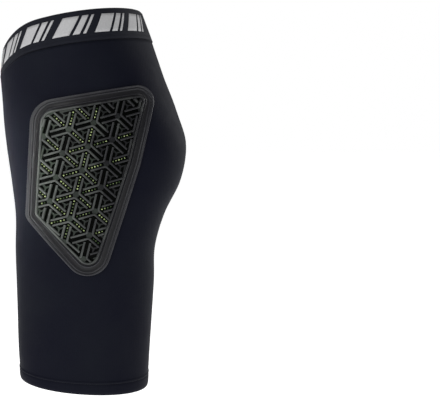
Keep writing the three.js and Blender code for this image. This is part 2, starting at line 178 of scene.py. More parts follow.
def depth_at(drop, side, x):
    apex, middle, depth, outer, inner, power = half_axes(drop, side)
    return middle + depth * across((x - apex) / np.where(x < apex, inner, outer), power)


def width_at(drop, y):
    side = np.where(y < SEAT_DEPTH * column_at("middle", drop), -1, 1)
    apex, middle, depth, outer, inner, power = half_axes(drop, side)
    return apex + outer * across((y - middle) / depth, power)


def height_at(drop, y):
    waist_reach, hem_reach = 0.5, 0.38  # shares of the drop
    dip_start, dip_end, dip_power = 0.4, 0.93, 2.5  # shares of the belly depth
    fade = np.maximum(0, 1 - drop / waist_reach) ** 2
    forward = np.maximum(0, -y / BELLY_DEPTH - dip_start) / (dip_end - dip_start)
    waist = WAIST_TILT * y - WAIST_DIP * forward**dip_power
    hem = HEM_TILT * np.maximum(0, 1 - (1 - drop) / hem_reach) ** 2
    return WAIST_SEAM - SIDE_LENGTH * drop + waist * fade + hem * y


def drop_at(z, depth_of):
    """The drop at which the fabric passes a height, found by halving."""
    halvings = 30
    low, high = np.zeros_like(z), np.ones_like(z)
    for _ in range(halvings):
        drop = (low + high) / 2
        lower = height_at(drop, depth_of(drop)) > z
        low, high = np.where(lower, drop, low), np.where(lower, high, drop)
    return low


def side_points(y, z):
    """Points of the fabric's outside, seen from the wearer's left."""
    drop = drop_at(z, lambda d: y)
    return np.stack([width_at(drop, y), y, z], axis=-1)


def back_points(x, z):
    """Points of the fabric's outside, seen from behind."""
    reach = np.abs(x)
    drop = drop_at(z, lambda d: depth_at(d, 1, reach))
    return np.stack([x, depth_at(drop, 1, reach), z], axis=-1)


def half_section(drop, cells):
    """Half a section, evenly spaced from the front middle or inseam to the back one."""
    fine = []
    for side in (-1, 1):
        axes = half_axes(np.array(drop), np.array(side))
        apex, middle, depth, outer, inner, power = (float(value) for value in axes)
        cut = min(1, apex / inner)
        first = math.atan2(float(across(cut, power)), cut)
        angle = np.linspace(first, math.pi, cells * 3)
        c, d = np.cos(angle), np.sin(angle)
        radius = (np.abs(c) ** power + np.abs(d) ** power) ** (-1 / power)
        x = apex - np.where(c > 0, inner, outer) * c * radius
        run = np.stack([x, middle + depth * d * radius], axis=-1)
        run[0, 0] = max(0, float(inner_end(np.array(drop))))
        fine.append(run if side < 0 else run[::-1][1:])
    x, y = even_points(np.concatenate(fine), cells + 1).T
    return np.stack([x, y, height_at(drop, y)], axis=-1)


# Meshes


def add_object(name, data):
    added = bpy.data.objects.new(name, data)
    bpy.context.scene.collection.objects.link(added)
    return added


def make_object(name, vertices, faces, smooth=True):
    mesh = bpy.data.meshes.new(name)
    mesh.from_pydata(vertices.tolist(), [], faces)
    mesh.validate()
    mesh.update()
    if smooth:
        mesh.shade_smooth()
    return add_object(name, mesh)


def sheet_faces(grid):
    """Merges a grid's coinciding points, and gives its vertices, faces and outward normals."""
    rows, columns = grid.shape[:2]
    flat = grid.reshape(-1, 3)
    keys = np.round(flat * POINTS_PER_METRE).astype(np.int64)
    _, first, index = np.unique(keys, axis=0, return_index=True, return_inverse=True)
    ids = index.reshape(rows, columns)
    vertices = flat[first]
    quads = np.stack([ids[:-1, :-1], ids[1:, :-1], ids[1:, 1:], ids[:-1, 1:]], axis=-1).reshape(-1, 4)
    faces = [tuple(dict.fromkeys(quad)) for quad in quads.tolist()]
    faces = [face for face in faces if len(face) > 2]
    mesh = bpy.data.meshes.new("sheet")
    mesh.from_pydata(vertices.tolist(), [], faces)
    mesh.update()
    normals = np.empty(len(vertices) * 3)
    mesh.vertex_normals.foreach_get("vector", normals)
    bpy.data.meshes.remove(mesh)
    return vertices, faces, normals.reshape(-1, 3), first


def joined(pieces):
    """The vertices and faces of several meshes as one."""
    vertices, faces, base = [], [], 0
    for points, piece_faces in pieces:
        vertices.append(points)
        faces += [tuple(v + base for v in face) for face in piece_faces]
        base += len(points)
    return np.concatenate(vertices), faces


def closed_faces(faces, count):
    """Faces of a sheet, the same faces turned over and count points further on, and the rim."""
    open_edges = {}
    for face in faces:
        for a, b in zip(face, face[1:] + face[:1]):
            if open_edges.pop((b, a), None) is None:
                open_edges[(a, b)] = True
    under = [tuple(v + count for v in reversed(face)) for face in faces]
    return faces + under + [(b, a, a + count, b + count) for a, b in open_edges]


def solid_on_sheet(name, grid, top, bottom):
    """A closed solid between two heights above a sheet. Heights are given for each grid point."""
    vertices, faces, normals, first = sheet_faces(grid)
    top = np.broadcast_to(top, grid.shape[:2]).reshape(-1)[first]
    bottom = np.broadcast_to(bottom, grid.shape[:2]).reshape(-1)[first]
    both = np.concatenate([vertices + normals * top[:, None], vertices + normals * bottom[:, None]])
    return make_object(name, both, closed_faces(faces, len(vertices)))


def mirrored(piece, name):
    """The wearer's right-hand copy of a left-hand piece."""
    mesh = piece.data.copy()
    count = len(mesh.vertices)
    points = np.empty(count * 3)
    mesh.vertices.foreach_get("co", points)
    points[0::3] *= -1
    mesh.vertices.foreach_set("co", points)
    mesh.flip_normals()
    mesh.update()
    return add_object(name, mesh)


def dress(piece, material, slot, *nodes):
    piece.data.materials.clear()
    piece.data.materials.append(material)
    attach(piece, "root")
    if nodes:
        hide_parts(*nodes)


def smooth_step(low, high, value):
    t = np.clip((value - low) / (high - low), 0, 1)
    return t * t * (3 - 2 * t)


# Materials


class Nodes:
    """Small helper around a material's node tree."""

    def __init__(self, name, color, roughness, **shader_values):
        self.material = bpy.data.materials.new(name)
        self.material.use_nodes = True
        self.tree = self.material.node_tree
        self.shader = self.tree.nodes["Principled BSDF"]
        self.shader.inputs["Base Color"].default_value = (*color, 1)
        self.shader.inputs["Roughness"].default_value = roughness
        for key, value in shader_values.items():
            self.shader.inputs[key.replace("_", " ")].default_value = value
        self.place = self.add("ShaderNodeTexCoord").outputs["Object"]
        self.height = None

    def add(self, kind, **settings):
        node = self.tree.nodes.new(kind)
        for key, value in settings.items():
            setattr(node, key, value)
        return node

    def link(self, source, target):
        self.tree.links.new(source, target)

    def part(self, axis):
        """One of the place's coordinates."""
        split = self.add("ShaderNodeSeparateXYZ")
        self.link(self.place, split.inputs["Vector"])
        return split.outputs[axis]

    def noise(self, scale, detail):
        node = self.add("ShaderNodeTexNoise")
        node.inputs["Scale"].default_value = scale
        node.inputs["Detail"].default_value = detail
        self.link(self.place, node.inputs["Vector"])
        return node.outputs["Fac"]

    def wave(self, scale, direction, distortion=0):
        node = self.add("ShaderNodeTexWave", bands_direction=direction)
        node.inputs["Scale"].default_value = scale
        node.inputs["Distortion"].default_value = distortion
        self.link(self.place, node.inputs["Vector"])
        return node.outputs["Fac"]

    def math(self, operation, first, second):
        node = self.add("ShaderNodeMath", operation=operation)
        for socket, value in zip(node.inputs, (first, second)):
            if isinstance(value, (int, float)):
                socket.default_value = value
            else:
                self.link(value, socket)
        return node.outputs[0]

    def ramp(self, value, low, high):
        """Maps a value. Low and high are each a value and what becomes of it."""
        node = self.add("ShaderNodeMapRange")
        for end, (place, number) in (("Min", low), ("Max", high)):
            node.inputs[f"From {end}"].default_value = place
            node.inputs[f"To {end}"].default_value = number
        self.link(value, node.inputs["Value"])
        return node.outputs["Result"]

    def mix_color(self, value, first, second):
        node = self.add("ShaderNodeMix", data_type="RGBA")
        node.inputs["A"].default_value = (*first, 1)
        node.inputs["B"].default_value = (*second, 1)
        self.link(value, node.inputs["Factor"])
        self.link(node.outputs["Result"], self.shader.inputs["Base Color"])

    def roughness(self, value, low, high):
        self.link(self.ramp(value, (0, low), (1, high)), self.shader.inputs["Roughness"])

    def bump(self, value, distance, strength=1):
        node = self.add("ShaderNodeBump")
        node.inputs["Strength"].default_value = strength
        node.inputs["Distance"].default_value = distance
        self.link(value, node.inputs["Height"])
        if self.height is not None:
            self.link(self.height, node.inputs["Normal"])
        self.height = node.outputs["Normal"]
        self.link(self.height, self.shader.inputs["Normal"])


def fabric_material():
    dark, light = (0.0058, 0.0064, 0.0135), (0.0085, 0.0098, 0.016)
    sheen = {"Sheen_Weight": 0.04, "Sheen_Roughness": 0.35, "Sheen_Tint": (0.6, 0.62, 0.7, 1)}
    nodes = Nodes("stretch_knit", dark, 0.7, Specular_IOR_Level=0.06, **sheen)
    courses = nodes.wave(160, "Z", 0.4)
    wales = nodes.wave(130, "Y", 0.3)
    nodes.bump(nodes.math("MULTIPLY", courses, wales), distance=0.00012, strength=0.6)
    cloud = nodes.noise(9, detail=3)
    nodes.mix_color(nodes.ramp(cloud, (0.35, 0), (0.68, 1)), dark, light)
    nodes.roughness(nodes.noise(60, detail=2), 0.6, 0.72)
    return nodes.material


def elastic_material():
    dark, light = (0.0088, 0.0098, 0.0155), (0.0135, 0.0148, 0.0215)
    sheen = {"Sheen_Weight": 0.03, "Sheen_Roughness": 0.5}
    nodes = Nodes("woven_elastic", dark, 0.7, Specular_IOR_Level=0.08, **sheen)
    ribs = nodes.wave(190, "Z")
    nodes.bump(nodes.math("ADD", ribs, nodes.noise(900, detail=2)), distance=0.0002, strength=0.7)
    nodes.mix_color(nodes.noise(40, detail=3), dark, light)
    return nodes.material


def thread_material(name, dark, light):
    nodes = Nodes(name, dark, 0.7, Specular_IOR_Level=0.2, Sheen_Weight=0.05)
    nodes.bump(nodes.noise(1400, detail=2), distance=0.0002, strength=0.5)
    nodes.mix_color(nodes.noise(200, detail=2), dark, light)
    return nodes.material


def foam_material():
    dark, light = (0.016, 0.017, 0.022), (0.03, 0.031, 0.038)
    nodes = Nodes("padding_cover", dark, 0.9, Sheen_Weight=0.2)
    nodes.bump(nodes.noise(500, detail=3), distance=0.0003, strength=0.5)
    nodes.mix_color(nodes.noise(30, detail=3), dark, light)
    return nodes.material


def rubber_material(name, front, back, gloss):
    """Moulded rubber whose colour runs from the front of the guard to its back: painted light and shade,
    with random patches over it.
    """
    nodes = Nodes(name, front, 0.45, Specular_IOR_Level=gloss)
    nodes.bump(nodes.noise(2200, detail=2), distance=0.00006, strength=0.5)
    # The colour follows the guard from front to back: painted light and shade.
    place = nodes.ramp(nodes.part("Y"), (-0.06, 0), (0.045, 1))
    shade_and_patches = nodes.math("ADD", place, nodes.ramp(nodes.noise(45, detail=3), (0.3, -0.3), (0.7, 0.3)))
    nodes.mix_color(nodes.ramp(shade_and_patches, (0, 0), (1, 1)), front, back)
    nodes.roughness(nodes.noise(120, detail=3), 0.38, 0.5)
    return nodes.material


def dot_material():
    """Yellow-green, from dark to pale from one dot to the next, darker towards the back as painted shade,
    and darker towards the bottom.
    """
    dark, pale = (0.03, 0.07, 0.015), (0.78, 0.95, 0.42)
    nodes = Nodes("green_dots", dark, 0.5)
    # Darker towards the back: painted shade.
    back = nodes.ramp(nodes.part("Y"), (0.01, 0), (0.07, -0.3))
    low = nodes.ramp(nodes.part("Z"), (-0.27, -0.2), (-0.22, 0))
    each = nodes.ramp(nodes.noise(230, detail=1), (0.4, -0.05), (0.6, 1))
    light = nodes.math("ADD", nodes.math("ADD", back, low), each)
    nodes.mix_color(light, dark, pale)
    nodes.bump(nodes.noise(1500, detail=2), distance=0.0001, strength=0.5)
    return nodes.material


def print_material():
    dark, light = (0.42, 0.42, 0.43), (0.6, 0.6, 0.61)
    nodes = Nodes("grey_print", dark, 0.6, Specular_IOR_Level=0.3)
    nodes.bump(nodes.wave(190, "Z"), distance=0.0001, strength=0.5)
    nodes.mix_color(nodes.noise(500, detail=4), dark, light)
    return nodes.material


FABRIC = fabric_material()
ELASTIC = elastic_material()
THREAD = thread_material("seam_thread", (0.0035, 0.004, 0.007), (0.007, 0.008, 0.012))
STITCH = thread_material("stitch_thread", (0.012, 0.013, 0.018), (0.022, 0.024, 0.031))
FOAM = foam_material()
PRINT = print_material()
DOTS = dot_material()

# Rubber colours at the front and at the back of a guard. The change between them is painted light and
# shade: lighter at the front on the bead, ribs and web, darker at the front on the flange.
Rubber = namedtuple("Rubber", "name front back gloss")
FLANGE_RUBBER, BEAD_HIGHLIGHT_RUBBER, RIB_HIGHLIGHT_RUBBER, WEB_SHADE_RUBBER, BACKING = (
    rubber_material(*rubber)
    for rubber in (
        Rubber("flange_rubber", (0.0045, 0.0045, 0.006), (0.011, 0.011, 0.0135), 0.3),
        # Much lighter than the flange: painted highlight on the bead and ridges.
        Rubber("bead_painted_highlight", (0.055, 0.057, 0.062), (0.024, 0.024, 0.03), 0.4),
        # Lighter than the web: painted highlight on the ribs.
        Rubber("rib_painted_highlight", (0.145, 0.16, 0.145), (0.016, 0.0165, 0.019), 0.4),
        # Darker than the ribs: painted shade on the web between them.
        Rubber("web_painted_shade", (0.056, 0.076, 0.055), (0.0075, 0.008, 0.0095), 0.3),
        # Near black: painted shade deep in the slots.
        Rubber("backing_painted_shade", (0.001, 0.002, 0.001), (0.001, 0.0015, 0.001), 0.05),
    )
)


# Leg panels


def panel_drops(rows):
    """Rows crowded towards the crotch."""
    leg_share, upper_crowding, lower_crowding = 0.42, 1.5, 1.35
    legs = int(rows * leg_share)
    upper = CROTCH_DROP * (1 - (1 - np.arange(rows - legs) / (rows - legs)) ** upper_crowding)
    lower = CROTCH_DROP + (1 - CROTCH_DROP) * (np.arange(legs + 1) / legs) ** lower_crowding
    return np.concatenate([upper, lower])


def seat_emboss(points):
    """Height of the fabric over the seat insert, with a shallow channel round its edge."""
    x, y, z = points[..., 0], points[..., 1], points[..., 2]
    reach = np.hypot(x / SEAT_PAD_HALF_WIDTH, (z - SEAT_PAD_MIDDLE) / (SEAT_PAD_HEIGHT / 2))
    pad_rise, pad_edge, back_start = 0.0011, 0.955, 0.02
    channel_depth, channel_reach, channel_width = 0.0004, 1.015, 0.012
    raised = pad_rise * (1 - smooth_step(pad_edge, 1.0, reach))
    channel = -channel_depth * np.exp(-(((reach - channel_reach) / channel_width) ** 2))
    return np.where(y > back_start, raised + channel, 0)


def make_panels():
    """The two halves, each with its turned hem and the stitched groove in it."""
    rows, columns, middle_gap, edge_start = 170, 150, 0.00015, 0.9955
    hem_fold, fold_half, groove, groove_width, edge_round = 0.0008, 0.002, 0.0006, 0.0016, 0.0007
    hem_rows = HEM_DROP + np.array([-0.003, -0.001, 0.001, 0.003, 0.0045, 0.006, 0.0075])
    drops = np.union1d(panel_drops(rows), hem_rows)
    grid = np.stack([half_section(drop, columns) for drop in drops])
    grid[..., 0] += middle_gap
    hem = hem_fold * smooth_step(HEM_DROP - fold_half, HEM_DROP + fold_half, drops)
    stitch = -groove * np.exp(-(((drops - HEM_DROP - HEM_STITCH_DROP) / groove_width) ** 2))
    edge = -edge_round * smooth_step(edge_start, 1.0, drops)
    top = (hem + stitch + edge)[:, None] + seat_emboss(grid)
    panel = solid_on_sheet("left_fabric_panel", grid, top, -FABRIC_THICKNESS)
    other = mirrored(panel, "right_fabric_panel")
    dress(panel, FABRIC, "fabric", "left_leg_panel")
    dress(other, FABRIC, "fabric", "right_leg_panel")


make_panels()


# Centre seam, a flat overlocked strip with two rows of raised stitches


def seam_path(steps):
    """Points back and up, down the front, under the crotch and up the back, and their lengths."""
    half_width, crowding = 0.0015, 1.8
    last = CROTCH_DROP + (1 - CROTCH_DROP) * (half_width / LEG_HALF_GAP) ** (1 / LEG_POWER)
    share = 1 - (1 - np.linspace(0, 1, steps)) ** crowding
    drops = share * last
    front = depth_at(drops, np.array(-1), np.array(half_width))
    back = depth_at(drops, np.array(1), np.array(half_width))
    y = np.concatenate([front, back[::-1][1:]])
    d = np.concatenate([drops, drops[::-1][1:]])
    path = np.stack([y, height_at(d, y)], axis=-1)
    return path, lengths_along(path)


def make_centre_seam():
    """A flat strip with two rounded rows of thread along it."""
    half_width, spacing, underside, strip_top = 0.0026, 0.002, 0.0001, 0.0004
    row_place, row_half, row_rise = 0.0014, 0.0013, 0.0006
    steps, columns = 240, 17
    path, along = seam_path(steps)
    want = np.arange(spacing / 2, along[-1], spacing)
    across_x = np.linspace(-half_width, half_width, columns)
    crown = row_rise * np.sqrt(np.clip(1 - ((np.abs(across_x) - row_place) / row_half) ** 2, 0, 1))
    grid = np.zeros((len(want), len(across_x), 3))
    grid[..., 0] = across_x
    grid[..., 1:] = points_at(want, along, path)[:, None]
    ground = seat_emboss(grid)
    top = ground + strip_top + crown[None, :]
    seam = solid_on_sheet("flat_centre_seam", grid, top, ground + underside)
    dress(seam, THREAD, "thread", "centre_seam")


make_centre_seam()


# Waistband, its printed bars and the overlap at the back


def band_ring(cells):
    half = half_section(0, cells)
    other = half[::-1][1:] * np.array([-1, 1, 1])
    return np.concatenate([half, other])


def band_points(ring, share):
    """The band's ring narrowed at a share of its height, more so at the back."""
    lean = 1 + (BAND_NARROWING - 1) * share
    depth_lean = np.where(ring[..., 1] > 0, 1 + (BAND_BACK_NARROWING - 1) * share, lean)
    height = ring[..., 2] + SEAT_GAP + BAND_HEIGHT * share
    return np.stack([ring[..., 0] * lean, ring[..., 1] * depth_lean, height], axis=-1)


def make_waistband():
    """The elastic with rounded edges, fine ribs round it and a sewn groove above the fabric."""
    rise, inside, edge_share, sunk = 0.0009, 0.0019, 0.05, 0.0002
    rib_count, rib_rise, groove, groove_place, groove_width = 16, 0.00012, 0.0005, 0.14, 0.018
    half_cells, rows = 200, 44
    ring = band_ring(half_cells)
    shares = np.linspace(1, 0, rows)
    grid = np.stack([band_points(ring, np.full(len(ring), share)) for share in shares])
    edge = rise * (smooth_step(0, edge_share, shares) * smooth_step(0, edge_share, 1 - shares))
    rib = rib_rise * np.cos(shares * math.pi * 2 * rib_count)
    seam = -groove * np.exp(-(((shares - groove_place) / groove_width) ** 2))
    band = solid_on_sheet("elastic_waistband", grid, (edge + rib + seam)[:, None] - sunk, -inside)
    dress(band, ELASTIC, "elastic", "waistband")


make_waistband()


def ring_walk(x_sign):
    """One half of the band's ring with its length from the front middle."""
    cells = 400
    half = half_section(0, cells)
    half[:, 0] *= x_sign
    return half, lengths_along(half[:, :2])


def make_band_print():
    """Slanted bars in groups of three, printed round the band on both sides of the overlap."""
    low, high, slant = 0.24, 0.82, 0.014
    widths = (0.022, 0.009, 0.004)
    space, group_space = 0.0045, 0.012
    front_margin, back_margin, print_rise, print_thickness = 0.004, 0.045, 0.00105, 0.0002
    columns, rows = 9, 7
    patches = []
    for sign in (1, -1):
        half, along = ring_walk(sign)
        start = front_margin
        while start + sum(widths) < along[-1] - back_margin:
            for width in widths:
                patches.append((half, along, start, width, sign))
                start += width + space
            start += group_space - space
    vertices, faces = [], []
    for half, along, start, width, sign in patches:
        for i in range(rows):
            share = low + (high - low) * i / (rows - 1)
            want = start + width * np.linspace(0, 1, columns) + slant * i / (rows - 1)
            ring = points_at(want, along, half)
            points = band_points(ring, np.full(columns, share))
            points[:, :2] += unit(ring[:, :2]) * print_rise
            vertices.append(points)
        base = len(vertices) * columns - rows * columns
        for i in range(rows - 1):
            for k in range(columns - 1):
                a = base + i * columns + k
                quad = (a, a + 1, a + columns + 1, a + columns)
                faces.append(quad if sign > 0 else quad[::-1])
    piece = make_object("waistband_print", np.concatenate(vertices), faces)
    thicken = piece.modifiers.new("thickness", "SOLIDIFY")
    thicken.thickness = print_thickness
    thicken.offset = 0
    dress(piece, PRINT, "elastic")


make_band_print()


def make_join():
    """The end of the elastic lapped over the other at the back, sewn down at both sides."""
    above_band, underside, floor = 0.0016, 0.0006, 0.001
    rise, groove, edge_share = 0.0008, 0.0004, 0.06
    stitch_places, stitch_width = (0.12, 0.9), 0.02
    rows, columns = 36, 33
    shares = np.linspace(1 + above_band / BAND_HEIGHT, 0, rows)
    x = np.linspace(JOIN_LEFT, -JOIN_RIGHT, columns)
    y = depth_at(np.zeros_like(x), np.array(1), np.abs(x))
    ring = np.stack([x, y, height_at(np.zeros_like(x), y)], axis=-1)
    grid = np.stack([band_points(ring, np.full(len(x), share)) for share in shares])
    u = np.linspace(0, 1, len(x))
    edge = smooth_step(0, edge_share, u) * smooth_step(0, edge_share, 1 - u)
    stitch = sum(np.exp(-(((u - place) / stitch_width) ** 2)) for place in stitch_places)
    top = floor + rise * edge - groove * stitch
    join = solid_on_sheet("waistband_overlap", grid, top, underside)
    dress(join, ELASTIC, "elastic", "waistband_join")


make_join()


# Seat insert


def make_seat_pad():
    """A crowned oval pad on the inside of the seat, thin at its edge."""
    rings, spokes, gap, edge_depth, crown = 14, 72, 0.0004, 0.0016, 0.0034
    share = np.linspace(0, 1, rings + 1)[:, None]
    angle = np.linspace(0, 2 * math.pi, spokes + 1)[None, :]
    x = SEAT_PAD_HALF_WIDTH * share * np.sin(angle)
    z = WAIST_SEAM - SEAT_PAD_TOP - SEAT_PAD_HEIGHT / 2 * (1 - share * np.cos(angle))
    grid = back_points(x.ravel(), z.ravel()).reshape(rings + 1, spokes + 1, 3)
    fullness = np.sqrt(np.clip(1 - share**2, 0, 1))
    outside = -FABRIC_THICKNESS - gap
    pad = solid_on_sheet("seat_padding", grid, outside, outside - edge_depth - crown * fullness)
    dress(pad, FOAM, "foam", "seat_pad")


make_seat_pad()


# Stitching round the seat insert and the hems


def thread_ring(path, outward):
    """A closed thread along a closed path, pinched between its stitches."""
    thickness, pinched, around = 0.00032, 0.4, 6
    side = np.cross(unit(np.roll(path, -1, axis=0) - np.roll(path, 1, axis=0)), outward)
    angle = np.linspace(0, 2 * math.pi, around, endpoint=False)[None, :, None]
    place = np.arange(len(path))
    swell = np.abs(np.sin(math.pi * place / STITCH_STEPS))
    radius = thickness * (pinched + (1 - pinched) * swell)[:, None, None]
    points = path[:, None] + radius * (np.cos(angle) * side[:, None] + np.sin(angle) * outward[:, None])
    ids = np.arange(points.shape[0] * around).reshape(-1, around)
    following = np.roll(ids, -1, axis=0)
    quads = np.stack([ids, following, np.roll(following, -1, axis=1), np.roll(ids, -1, axis=1)], axis=-1)
    return points.reshape(-1, 3), quads.reshape(-1, 4).tolist()


def even_ring(loop, stitch_count):
    """A closed loop in even steps."""
    return even_points(np.concatenate([loop, loop[:1]]), stitch_count * STITCH_STEPS + 1)[:-1]


def make_thread(name, rings):
    thread = make_object(name, *joined(rings))
    dress(thread, STITCH, "thread")
    return thread


def make_seat_stitching():
    """Two rows of stitches round the seat insert."""
    row_reaches, stitch_count, rise, step = (1.005, 1.045), 168, 0.0002, 0.0005
    loop_points = 400
    angle = np.linspace(0, 2 * math.pi, loop_points, endpoint=False)
    rings = []
    for reach in row_reaches:
        x = SEAT_PAD_HALF_WIDTH * reach * np.sin(angle)
        z = SEAT_PAD_MIDDLE + SEAT_PAD_HEIGHT / 2 * reach * np.cos(angle)
        x, _, z = even_ring(back_points(x, z), stitch_count).T
        slope_x = (back_points(x + step, z)[:, 1] - back_points(x - step, z)[:, 1]) / (2 * step)
        slope_z = (back_points(x, z + step)[:, 1] - back_points(x, z - step)[:, 1]) / (2 * step)
        outward = unit(np.stack([-slope_x, np.ones_like(x), -slope_z], axis=-1))
        rings.append(thread_ring(back_points(x, z) + outward * rise, outward))
    make_thread("seat_stitching", rings)


def make_hem_stitching():
    """A row of stitches round each leg, through the turned hem."""
    stitch_count, rise, cells = 170, 0.0004, 400
    loop = even_ring(half_section(HEM_DROP + HEM_STITCH_DROP, cells)[:-1], stitch_count)
    tangent = np.roll(loop, -1, axis=0) - np.roll(loop, 1, axis=0)
    outward = unit(np.stack([-tangent[:, 1], tangent[:, 0], np.zeros(len(loop))], axis=-1))
    outward *= np.sign(np.sum(outward * (loop - loop.mean(axis=0)), axis=1).mean())
    left = make_thread("left_hem_stitching", [thread_ring(loop + outward * rise, outward)])
    dress(mirrored(left, "right_hem_stitching"), STITCH, "thread")


make_seat_stitching()
make_hem_stitching()


# Hip guards


def guard_outline(inset, corner_cells=14, cell=0.003):
    """The rounded outline seen from the side, moved in by an inset, as points back and up."""
    least_radius = 0.005
    start = np.array([-GUARD_FORWARD, WAIST_SEAM - GUARD_DROP])
    corners = [
        (
            start + np.array([back * GUARD_WIDTH, -down * GUARD_HEIGHT]),
            max(least_radius, radius * GUARD_WIDTH - inset),
        )
        for back, down, radius in GUARD_CORNERS
    ]
    count = len(corners)
    edges = [corners[(i + 1) % count][0] - corners[i][0] for i in range(count)]
    lengths = [np.linalg.norm(edge) for edge in edges]
    edges = [unit(edge) for edge in edges]
    arcs = []
    for i, (at, radius) in enumerate(corners):
        before, after = edges[i - 1], edges[i]
        turn = math.acos(float(np.clip(before @ after, -1, 1)))
        inward = unit(np.array([before[1] + after[1], -before[0] - after[0]]))
        centre = at + inward * (inset + radius) / math.cos(turn / 2)
        first = math.atan2(before[0], -before[1])
        angle = first - turn * np.linspace(0, 1, corner_cells + 1)
        arcs.append(centre + radius * np.stack([np.cos(angle), np.sin(angle)], axis=-1))
    outline = []
    for i, arc in enumerate(arcs):
        following = arcs[(i + 1) % count][0]
        cells = max(2, math.ceil(lengths[i] / cell))
        outline.append(arc)
        outline.append(arc[-1] + (following - arc[-1]) * np.linspace(0, 1, cells + 1)[1:-1, None])
    outline.append(arcs[0][:1])
    return np.concatenate(outline)


def rings_on_side(insets):
    """The guard's outline at several insets, laid on the fabric."""
    outlines = np.stack([guard_outline(inset) for inset in insets])
    shape = outlines.shape[:2]
    return side_points(outlines[..., 0].ravel(), outlines[..., 1].ravel()).reshape(*shape, 3)


def ridge(inset, centre, half_width):
    return np.sqrt(np.clip(1 - ((inset - centre) / half_width) ** 2, 0, 1))


def inside_outline(points, outline):
    """Which points lie inside a closed outline."""
    a, b = outline[:-1], outline[1:]
    px, py = points[:, None, 0], points[:, None, 1]
    spans = (a[:, 1] > py) != (b[:, 1] > py)
    rise = np.where(b[:, 1] == a[:, 1], 1, b[:, 1] - a[:, 1])
    left = px < a[:, 0] + (b[:, 0] - a[:, 0]) * (py - a[:, 1]) / rise
    return (np.sum(spans & left, axis=1) % 2) == 1


Ridge = namedtuple("Ridge", "centre half_width rise")
FLANGE_RIDGES = [
    Ridge(0.0014, 0.0013, 0.0014),
    Ridge(0.0047, 0.0008, 0.0008),
    Ridge(0.0117, 0.001, 0.001),
]


def make_flange():
    """The rim with its bead and two ridges, a shallow dish between them and a lip inside."""
    dish, dish_centre, dish_width = 0.0004, 0.0082, 0.002
    base, lip, lip_width, underside = 0.0014, 0.0012, 0.0016, 0.0002
    edge_out, edge_in = -0.0002, 0.0006
    insets = np.concatenate([
        np.linspace(0, 0.0032, 14),
        np.linspace(0.0036, 0.006, 9),
        np.linspace(0.0066, FLANGE_WIDTH, 22),
    ])
    height = base * smooth_step(edge_out, edge_in, insets)
    for centre, half_width, rise in FLANGE_RIDGES:
        height = height + rise * ridge(insets, centre, half_width)
    height = height - dish * np.exp(-(((insets - dish_centre) / dish_width) ** 2))
    height = height + lip * smooth_step(FLANGE_WIDTH - lip_width, FLANGE_WIDTH, insets)
    grid = rings_on_side(insets)
    flange = solid_on_sheet("left_flange", grid, (SEAT_GAP + height)[:, None], underside)
    # The bead and the two ridges take the lighter bead rubber: a painted highlight on them.
    ridge_edges = (0.0026, 0.0039, 0.0055, 0.0108, 0.0126)
    places = np.array([face.center[1:] for face in flange.data.polygons])
    painted_highlight_faces = np.ones(len(places), bool)
    for edge in ridge_edges:
        painted_highlight_faces ^= inside_outline(places, guard_outline(edge))
    other = mirrored(flange, "right_flange")
    for piece, node in ((flange, "left_guard_flange"), (other, "right_guard_flange")):
        dress(piece, FLANGE_RUBBER, "rubber", node)
        piece.data.materials.append(BEAD_HIGHLIGHT_RUBBER)
        piece.data.polygons.foreach_set("material_index", painted_highlight_faces.astype(np.int32))


make_flange()


TURNS = [KNOT_TURN - k * 2 * math.pi / 3 for k in range(3)]
SPOKES = [np.array([math.cos(turn), math.sin(turn)]) for turn in TURNS]
LEFTS = [np.array([-spoke[1], spoke[0]]) for spoke in SPOKES]


def guard_knots():
    """The middles of the three-armed figures, as points back and up."""
    start = np.array([KNOT_BACK, WAIST_SEAM - KNOT_DROP])
    first, second = SPOKES[0] * KNOT_PITCH, SPOKES[1] * KNOT_PITCH
    reach = range(-8, 9)
    return [start + first * i + second * j for i in reach for j in reach]


def plate_lift(points):
    """Height of the plate's crown over the fabric, fuller towards the middle of the guard."""
    outline = guard_outline(FLANGE_WIDTH, corner_cells=4, cell=0.02)
    low, high = outline.min(axis=0), outline.max(axis=0)
    share = np.linalg.norm((points - (low + high) / 2) / (high - low), axis=-1) * 2
    return PLATE_CROWN * np.clip(1 - share**2, 0, 1)


def guard_normals(y, z):
    """Outward directions of the fabric under the guard."""
    step = 0.0005
    x_back = side_points(y + step, z)[..., 0] - side_points(y - step, z)[..., 0]
    x_up = side_points(y, z + step)[..., 0] - side_points(y, z - step)[..., 0]
    return unit(np.stack([np.ones_like(y), -x_back / (2 * step), -x_up / (2 * step)], axis=-1))


def swept_rib(path, profile):
    """A closed bar along a flat path of points back and up. The profile is across and height."""
    tangent = unit(np.gradient(path, axis=0))
    normal = np.stack([-tangent[:, 1], tangent[:, 0]], axis=-1)
    flat = path[:, None, :] + normal[:, None, :] * profile[None, :, 0, None]
    count, size = flat.shape[:2]
    points = lifted(flat.reshape(-1, 2), np.tile(profile[:, 1], count))
    faces = []
    for i in range(count - 1):
        for k in range(size):
            a, b = i * size + k, i * size + (k + 1) % size
            faces.append((a, b, b + size, a + size))
    faces.append(tuple(range(size))[::-1])
    faces.append(tuple((count - 1) * size + k for k in range(size)))
    return points, faces


def clipped(path, outline):
    """The longest run of a path inside an outline."""
    inside = inside_outline(path, outline)
    best, run = [], []
    for point, keep in zip(path, inside):
        run = run + [point] if keep else []
        if len(run) > len(best):
            best = run
    return np.array(best)


def fillet_path(points, radius, cells):
    """A path through three points with its corner rounded, in even steps."""
    a, corner, b = points
    start = corner + unit(a - corner) * radius
    end = corner + unit(b - corner) * radius
    bend_points = 7
    t = np.linspace(0, 1, bend_points)[:, None]
    bend = start * (1 - t) ** 2 + corner * 2 * t * (1 - t) + end * t**2
    return even_points(np.concatenate([[a], bend, [b]]), cells)


